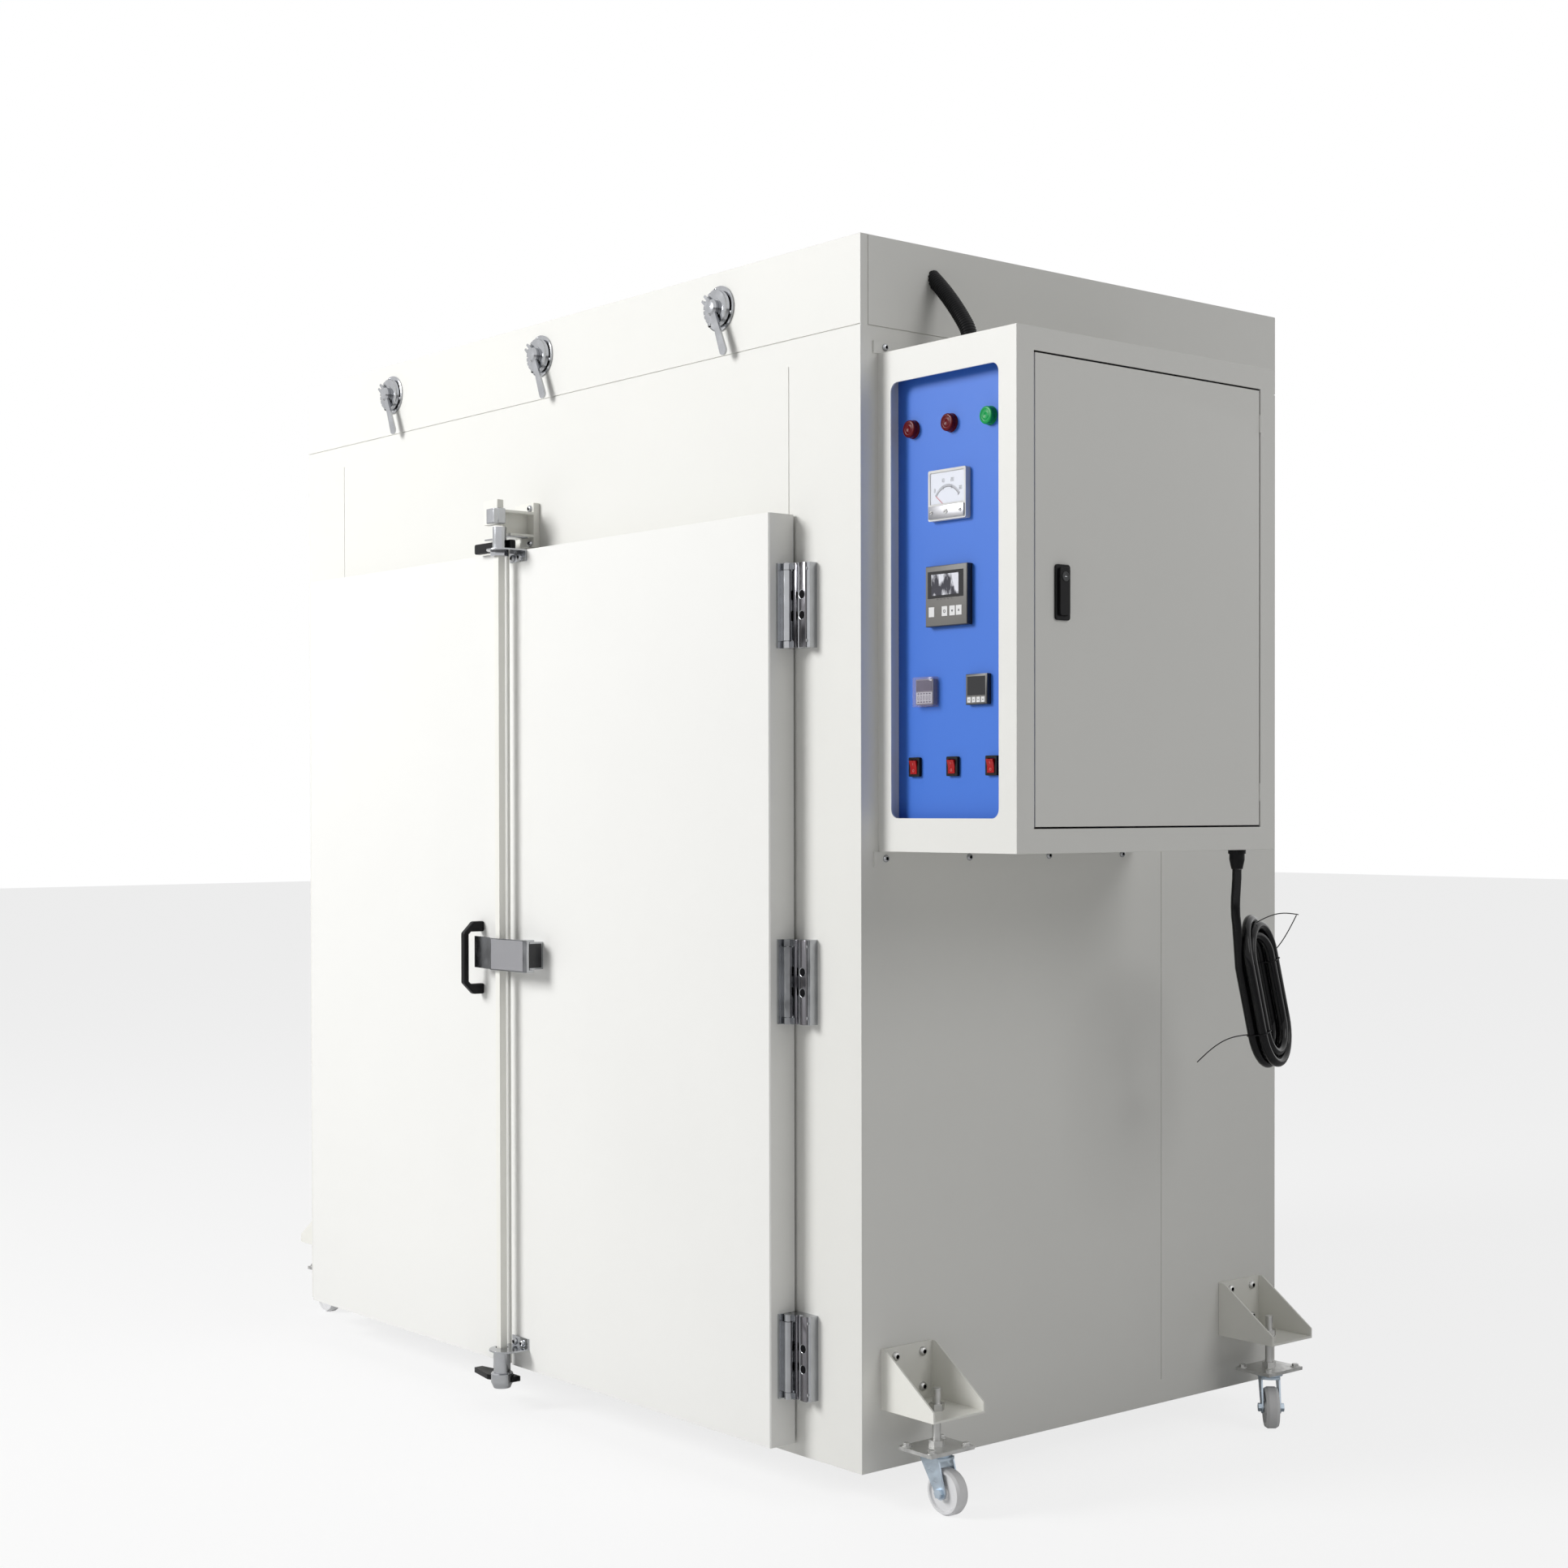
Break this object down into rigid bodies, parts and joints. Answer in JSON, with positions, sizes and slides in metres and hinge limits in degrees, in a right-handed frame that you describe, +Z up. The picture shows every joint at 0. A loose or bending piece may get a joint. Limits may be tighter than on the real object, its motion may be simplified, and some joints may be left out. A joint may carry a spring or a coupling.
{
  "type": "trolley drying oven",
  "caption": "Insulated walk-in drying oven on casters with two swinging doors, a lock rod, top air dampers and a side control cabinet.",
  "frame": {"origin": "on the floor below the middle of the oven's box, wheels included and the power cable left out", "axes": "+Z up, front and doors face -Y, +X to the control cabinet"},
  "size_m": [2.3004, 1.1589, 2.06],
  "materials": {
    "body_paint": "warm ivory powder coat with a fine orange peel",
    "door_paint": "warm ivory powder coat",
    "stainless": "brushed stainless sheet",
    "chrome": "bright chromed hardware",
    "black_plastic": "satin black plastic",
    "gasket": "black silicone rubber",
    "zinc": "blue zinc plate",
    "nylon": "white nylon",
    "steel": "plated steel",
    "blue_panel": "blue instrument panel",
    "lamp": "clear coloured lens",
    "instrument_grey": "glossy light plastic",
    "instrument_black": "black plastic instrument case",
    "timer_cover": "clear violet plastic cover",
    "red_plastic": "red rocker plastic",
    "cable": "black cable sheath"
  },
  "bodies": {
    "oven": {"left_wall": "body_paint", "right_wall": "body_paint", "rear_wall": "body_paint", "ceiling": "body_paint", "floor": "body_paint", "front_header": "body_paint", "front_stiles": "body_paint", "chamber_liner": "stainless", "top_housing": "body_paint", "top_fascia": "body_paint", "hinge_bases": "chrome", "keeper_bracket": "body_paint", "keeper_block": "chrome", "damper_flanges": "chrome", "caster_brackets": "body_paint", "caster_plates": "steel", "cabinet_case": "body_paint", "cabinet_face": "body_paint", "cabinet_side": "body_paint", "instrument_panel": "blue_panel", "pilot_lamps": "lamp", "ammeter": "instrument_grey", "temperature_controller": "instrument_black", "timer": "timer_cover", "limit_controller": "instrument_black", "switch_bezels": "black_plastic", "conduit": "black_plastic", "cable_gland": "black_plastic", "power_cable": "cable", "cable_hank": "cable"},
    "right_door": {"door_right": "door_paint", "door_right_seal": "gasket", "hinge_straps_right": "chrome", "rod_guides": "chrome", "latch_base": "chrome"},
    "latch_lever": {"latch_lever": "chrome"},
    "lock_rod": {"lock_rod": "body_paint", "rod_sleeves": "chrome", "rod_arms": "black_plastic"},
    "left_door": {"door_left": "door_paint", "door_left_seal": "gasket", "hinge_straps_left": "chrome", "pull_handle": "black_plastic"},
    "damper_lever_1": {"damper_lever_1": "chrome"},
    "damper_lever_2": {"damper_lever_2": "chrome"},
    "damper_lever_3": {"damper_lever_3": "chrome"},
    "cabinet_door": {"cabinet_door": "body_paint", "cabinet_lock": "black_plastic"},
    "rocker_1": {"rocker_1": "red_plastic"},
    "rocker_2": {"rocker_2": "red_plastic"},
    "rocker_3": {"rocker_3": "red_plastic"},
    "caster_1": {"caster_fork_1": "zinc"},
    "wheel_1": {"wheel_1": "nylon"},
    "caster_2": {"caster_fork_2": "zinc"},
    "wheel_2": {"wheel_2": "nylon"},
    "caster_3": {"caster_fork_3": "zinc"},
    "wheel_3": {"wheel_3": "nylon"},
    "caster_4": {"caster_fork_4": "zinc"},
    "wheel_4": {"wheel_4": "nylon"}
  },
  "joints": [
    {"name": "right_door_hinge", "type": "hinge", "parent": "oven", "child": "right_door", "pos_m": [0.67325, -0.4885, 0.85], "axis": [0, 0, 1], "range_deg": [0, 105]},
    {"name": "left_door_hinge", "type": "hinge", "parent": "oven", "child": "left_door", "pos_m": [-0.91475, -0.4885, 0.85], "axis": [0, 0, -1], "range_deg": [0, 105]},
    {"name": "latch_pivot", "type": "hinge", "parent": "right_door", "child": "latch_lever", "pos_m": [-0.01275, -0.5485, 0.863], "axis": [0, 0, 1], "range_deg": [0, 70]},
    {"name": "lock_rod_turn", "type": "hinge", "parent": "right_door", "child": "lock_rod", "pos_m": [-0.10875, -0.5465, 0.86], "axis": [0, 0, 1], "range_deg": [0, 90]},
    {"name": "damper_1", "type": "hinge", "parent": "oven", "child": "damper_lever_1", "pos_m": [0.45925, -0.4745, 1.996], "axis": [0, -1, 0], "range_deg": [0, 90]},
    {"name": "damper_2", "type": "hinge", "parent": "oven", "child": "damper_lever_2", "pos_m": [-0.09475, -0.4745, 1.996], "axis": [0, -1, 0], "range_deg": [0, 90]},
    {"name": "damper_3", "type": "hinge", "parent": "oven", "child": "damper_lever_3", "pos_m": [-0.64875, -0.4745, 1.996], "axis": [0, -1, 0], "range_deg": [0, 90]},
    {"name": "cabinet_door_hinge", "type": "hinge", "parent": "oven", "child": "cabinet_door", "pos_m": [1.14175, 0.148, 1.466], "axis": [0, 0, 1], "range_deg": [0, 110]},
    {"name": "rocker_1_tilt", "type": "hinge", "parent": "oven", "child": "rocker_1", "pos_m": [0.88925, -0.4017, 1.202], "axis": [-1, 0, 0], "range_deg": [0, 16]},
    {"name": "rocker_2_tilt", "type": "hinge", "parent": "oven", "child": "rocker_2", "pos_m": [0.97725, -0.4017, 1.202], "axis": [-1, 0, 0], "range_deg": [0, 16]},
    {"name": "rocker_3_tilt", "type": "hinge", "parent": "oven", "child": "rocker_3", "pos_m": [1.06525, -0.4017, 1.202], "axis": [-1, 0, 0], "range_deg": [0, 16]},
    {"name": "caster_1_swivel", "type": "hinge", "parent": "oven", "child": "caster_1", "pos_m": [0.89725, -0.3635, 0.09], "axis": [0, 0, 1], "continuous": true},
    {"name": "wheel_1_spin", "type": "hinge", "parent": "caster_1", "child": "wheel_1", "pos_m": [0.92325, -0.3635, 0.0375], "axis": [0, 1, 0], "continuous": true},
    {"name": "caster_2_swivel", "type": "hinge", "parent": "oven", "child": "caster_2", "pos_m": [0.89725, 0.4735, 0.09], "axis": [0, 0, 1], "continuous": true},
    {"name": "wheel_2_spin", "type": "hinge", "parent": "caster_2", "child": "wheel_2", "pos_m": [0.91627, 0.45577, 0.0375], "axis": [0.682, 0.7314, 0], "continuous": true},
    {"name": "caster_3_swivel", "type": "hinge", "parent": "oven", "child": "caster_3", "pos_m": [-1.08675, -0.3635, 0.09], "axis": [0, 0, 1], "continuous": true},
    {"name": "wheel_3_spin", "type": "hinge", "parent": "caster_3", "child": "wheel_3", "pos_m": [-1.11275, -0.3635, 0.0375], "axis": [0, -1, 0], "continuous": true},
    {"name": "caster_4_swivel", "type": "hinge", "parent": "oven", "child": "caster_4", "pos_m": [-1.08675, 0.4735, 0.09], "axis": [0, 0, 1], "continuous": true},
    {"name": "wheel_4_spin", "type": "hinge", "parent": "caster_4", "child": "wheel_4", "pos_m": [-1.10805, 0.45859, 0.0375], "axis": [0.5736, -0.8192, 0], "continuous": true}
  ],
  "couplings": [
    {"joint": "left_door_hinge", "follows": "right_door_hinge", "ratio": 1}
  ]
}
